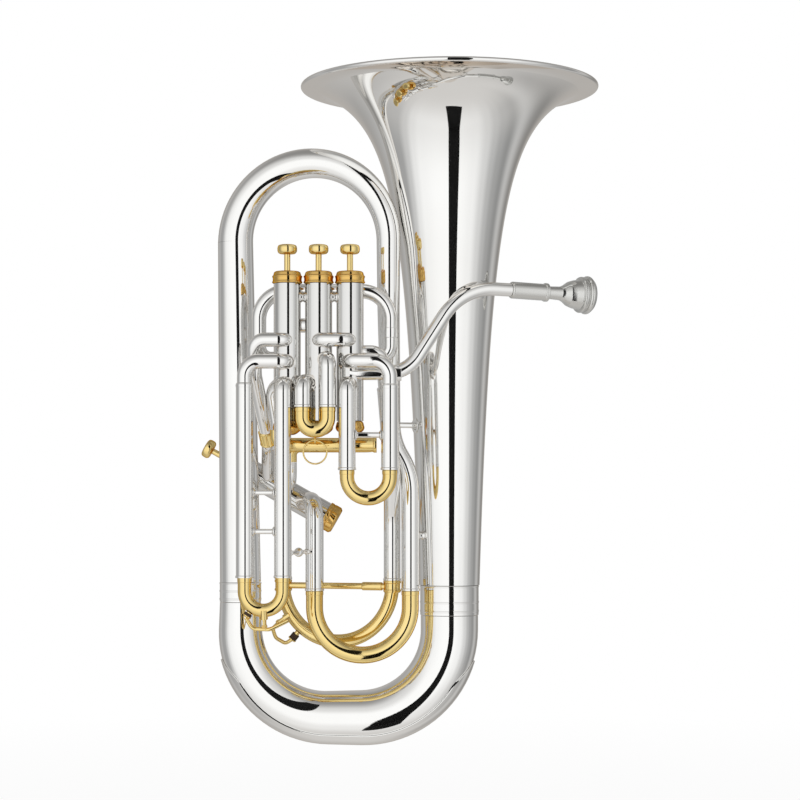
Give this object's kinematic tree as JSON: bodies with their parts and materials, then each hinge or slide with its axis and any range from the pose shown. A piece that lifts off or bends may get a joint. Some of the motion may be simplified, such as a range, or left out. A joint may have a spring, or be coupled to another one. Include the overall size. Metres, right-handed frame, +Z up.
{
  "type": "euphonium",
  "caption": "Silver-plated compensating euphonium with upright bell, upright and side piston valves and gold-plated slides.",
  "frame": {"origin": "lowest point of the bottom bow, where the horn rests on the player's lap", "axes": "+X from the large left tube to the bell and mouthpiece, +Y from the valve fronts to the back, +Z up to the bell rim"},
  "size_m": [0.4038, 0.3, 0.666],
  "materials": {
    "bell": "polished silver plate",
    "bell_ferrule": "polished silver plate",
    "bottom_bow": "polished silver plate",
    "bow_guard": "polished silver plate",
    "branch_ferrule": "polished silver plate",
    "outer_branch": "polished silver plate",
    "top_bow": "polished silver plate",
    "inner_branch": "polished silver plate",
    "main_slide_left_leg": "polished silver plate",
    "valve_1_casing": "polished silver plate",
    "valve_1_top_cap": "polished gold plate",
    "valve_1_bottom_cap": "polished gold plate",
    "valve_2_casing": "polished silver plate",
    "valve_2_top_cap": "polished gold plate",
    "valve_2_bottom_cap": "polished gold plate",
    "valve_3_casing": "polished silver plate",
    "valve_3_top_cap": "polished gold plate",
    "valve_3_bottom_cap": "polished gold plate",
    "valve_4_casing": "polished silver plate",
    "valve_4_top_cap": "polished gold plate",
    "valve_4_bottom_cap": "polished gold plate",
    "first_slide_legs": "polished silver plate",
    "second_slide_left_leg": "polished silver plate",
    "second_slide_right_leg": "polished silver plate",
    "third_slide_legs": "polished silver plate",
    "fourth_slide_left_leg": "polished silver plate",
    "fourth_slide_right_leg": "polished silver plate",
    "arch_tube": "polished silver plate",
    "crossover_1_2": "polished silver plate",
    "crossover_2_3": "polished silver plate",
    "fourth_valve_inlet": "polished silver plate",
    "third_comp_bend": "polished silver plate",
    "return_crook": "polished gold plate",
    "return_inlet": "polished silver plate",
    "leadpipe": "polished silver plate",
    "receiver": "polished silver plate",
    "upper_bell_brace": "polished silver plate",
    "lower_bell_brace": "polished silver plate",
    "leadpipe_brace": "polished silver plate",
    "casing_brace_1_2": "polished silver plate",
    "casing_brace_2_3": "polished silver plate",
    "ball_brace": "polished silver plate",
    "valve_1_piston": "polished gold plate",
    "valve_1_button": "polished gold plate",
    "valve_2_piston": "polished gold plate",
    "valve_2_button": "polished gold plate",
    "valve_3_piston": "polished gold plate",
    "valve_3_button": "polished gold plate",
    "valve_4_piston": "polished gold plate",
    "valve_4_button": "polished gold plate",
    "main_slide_crook": "polished gold plate",
    "first_slide_crook": "polished gold plate",
    "second_slide_crook": "polished gold plate",
    "third_slide_crook": "polished gold plate",
    "fourth_slide_crook": "polished gold plate",
    "third_water_key": "polished gold plate",
    "fourth_water_key": "polished gold plate",
    "second_slide_ring": "polished gold plate",
    "mouthpiece": "polished silver plate"
  },
  "bodies": {
    "horn": {"bell": "bell", "bell_ferrule": "bell_ferrule", "bottom_bow": "bottom_bow", "bow_guard": "bow_guard", "branch_ferrule": "branch_ferrule", "outer_branch": "outer_branch", "top_bow": "top_bow", "inner_branch": "inner_branch", "main_slide_left_leg": "main_slide_left_leg", "valve_1_casing": "valve_1_casing", "valve_1_top_cap": "valve_1_top_cap", "valve_1_bottom_cap": "valve_1_bottom_cap", "valve_2_casing": "valve_2_casing", "valve_2_top_cap": "valve_2_top_cap", "valve_2_bottom_cap": "valve_2_bottom_cap", "valve_3_casing": "valve_3_casing", "valve_3_top_cap": "valve_3_top_cap", "valve_3_bottom_cap": "valve_3_bottom_cap", "valve_4_casing": "valve_4_casing", "valve_4_top_cap": "valve_4_top_cap", "valve_4_bottom_cap": "valve_4_bottom_cap", "first_slide_legs": "first_slide_legs", "second_slide_left_leg": "second_slide_left_leg", "second_slide_right_leg": "second_slide_right_leg", "third_slide_legs": "third_slide_legs", "fourth_slide_left_leg": "fourth_slide_left_leg", "fourth_slide_right_leg": "fourth_slide_right_leg", "arch_tube": "arch_tube", "crossover_1_2": "crossover_1_2", "crossover_2_3": "crossover_2_3", "fourth_valve_inlet": "fourth_valve_inlet", "third_comp_bend": "third_comp_bend", "return_crook": "return_crook", "return_inlet": "return_inlet", "leadpipe": "leadpipe", "receiver": "receiver", "upper_bell_brace": "upper_bell_brace", "lower_bell_brace": "lower_bell_brace", "leadpipe_brace": "leadpipe_brace", "casing_brace_1_2": "casing_brace_1_2", "casing_brace_2_3": "casing_brace_2_3", "ball_brace": "ball_brace"},
    "piston_1": {"valve_1_piston": "valve_1_piston", "valve_1_button": "valve_1_button"},
    "piston_2": {"valve_2_piston": "valve_2_piston", "valve_2_button": "valve_2_button"},
    "piston_3": {"valve_3_piston": "valve_3_piston", "valve_3_button": "valve_3_button"},
    "piston_4": {"valve_4_piston": "valve_4_piston", "valve_4_button": "valve_4_button"},
    "main_slide": {"main_slide_crook": "main_slide_crook"},
    "first_slide": {"first_slide_crook": "first_slide_crook"},
    "second_slide": {"second_slide_crook": "second_slide_crook"},
    "third_slide": {"third_slide_crook": "third_slide_crook"},
    "fourth_slide": {"fourth_slide_crook": "fourth_slide_crook"},
    "third_key": {"third_water_key": "third_water_key"},
    "fourth_key": {"fourth_water_key": "fourth_water_key"},
    "pull_ring": {"second_slide_ring": "second_slide_ring"},
    "mouthpiece": {"mouthpiece": "mouthpiece"}
  },
  "joints": [
    {"name": "valve_1_press", "type": "slide", "parent": "horn", "child": "piston_1", "axis": [0, 0, -1], "range_m": [0, 0.0165], "stiffness_N_per_m": 150, "springref_m": -0.02},
    {"name": "valve_2_press", "type": "slide", "parent": "horn", "child": "piston_2", "axis": [0, 0, -1], "range_m": [0, 0.0165], "stiffness_N_per_m": 150, "springref_m": -0.02},
    {"name": "valve_3_press", "type": "slide", "parent": "horn", "child": "piston_3", "axis": [0, 0, -1], "range_m": [0, 0.0165], "stiffness_N_per_m": 150, "springref_m": -0.02},
    {"name": "valve_4_press", "type": "slide", "parent": "horn", "child": "piston_4", "axis": [0.8704, 0, -0.4924], "range_m": [0, 0.0165], "stiffness_N_per_m": 150, "springref_m": -0.02},
    {"name": "main_tuning_slide", "type": "slide", "parent": "horn", "child": "main_slide", "axis": [0, 0, -1], "range_m": [0, 0.025]},
    {"name": "first_valve_slide", "type": "slide", "parent": "horn", "child": "first_slide", "axis": [0, 0, -1], "range_m": [0, 0.06]},
    {"name": "second_valve_slide", "type": "slide", "parent": "horn", "child": "second_slide", "axis": [0, 0, -1], "range_m": [0, 0.01]},
    {"name": "third_valve_slide", "type": "slide", "parent": "horn", "child": "third_slide", "axis": [0, 0, -1], "range_m": [0, 0.09]},
    {"name": "fourth_valve_slide", "type": "slide", "parent": "horn", "child": "fourth_slide", "axis": [0, 0, -1], "range_m": [0, 0.03]},
    {"name": "third_water_key_hinge", "type": "hinge", "parent": "third_slide", "child": "third_key", "pos_m": [-0.07595, -0.0845, 0.12455], "axis": [0, -1, 0], "range_deg": [0, 14], "stiffness_Nm_per_rad": 0.03, "springref_deg": -28.65},
    {"name": "fourth_water_key_hinge", "type": "hinge", "parent": "fourth_slide", "child": "fourth_key", "pos_m": [-0.06778, 0.02924, 0.12284], "axis": [0.2919, 0.9564, 0], "range_deg": [0, 12], "stiffness_Nm_per_rad": 0.03, "springref_deg": -28.65},
    {"name": "pull_ring_swing", "type": "hinge", "parent": "second_slide", "child": "pull_ring", "pos_m": [-0.02695, -0.0845, 0.3054], "axis": [1, 0, 0], "range_deg": [-70, 70]},
    {"name": "mouthpiece_seat", "type": "slide", "parent": "horn", "child": "mouthpiece", "axis": [0.9202, 0.3906, -0.0262], "range_m": [0, 0.024]}
  ]
}
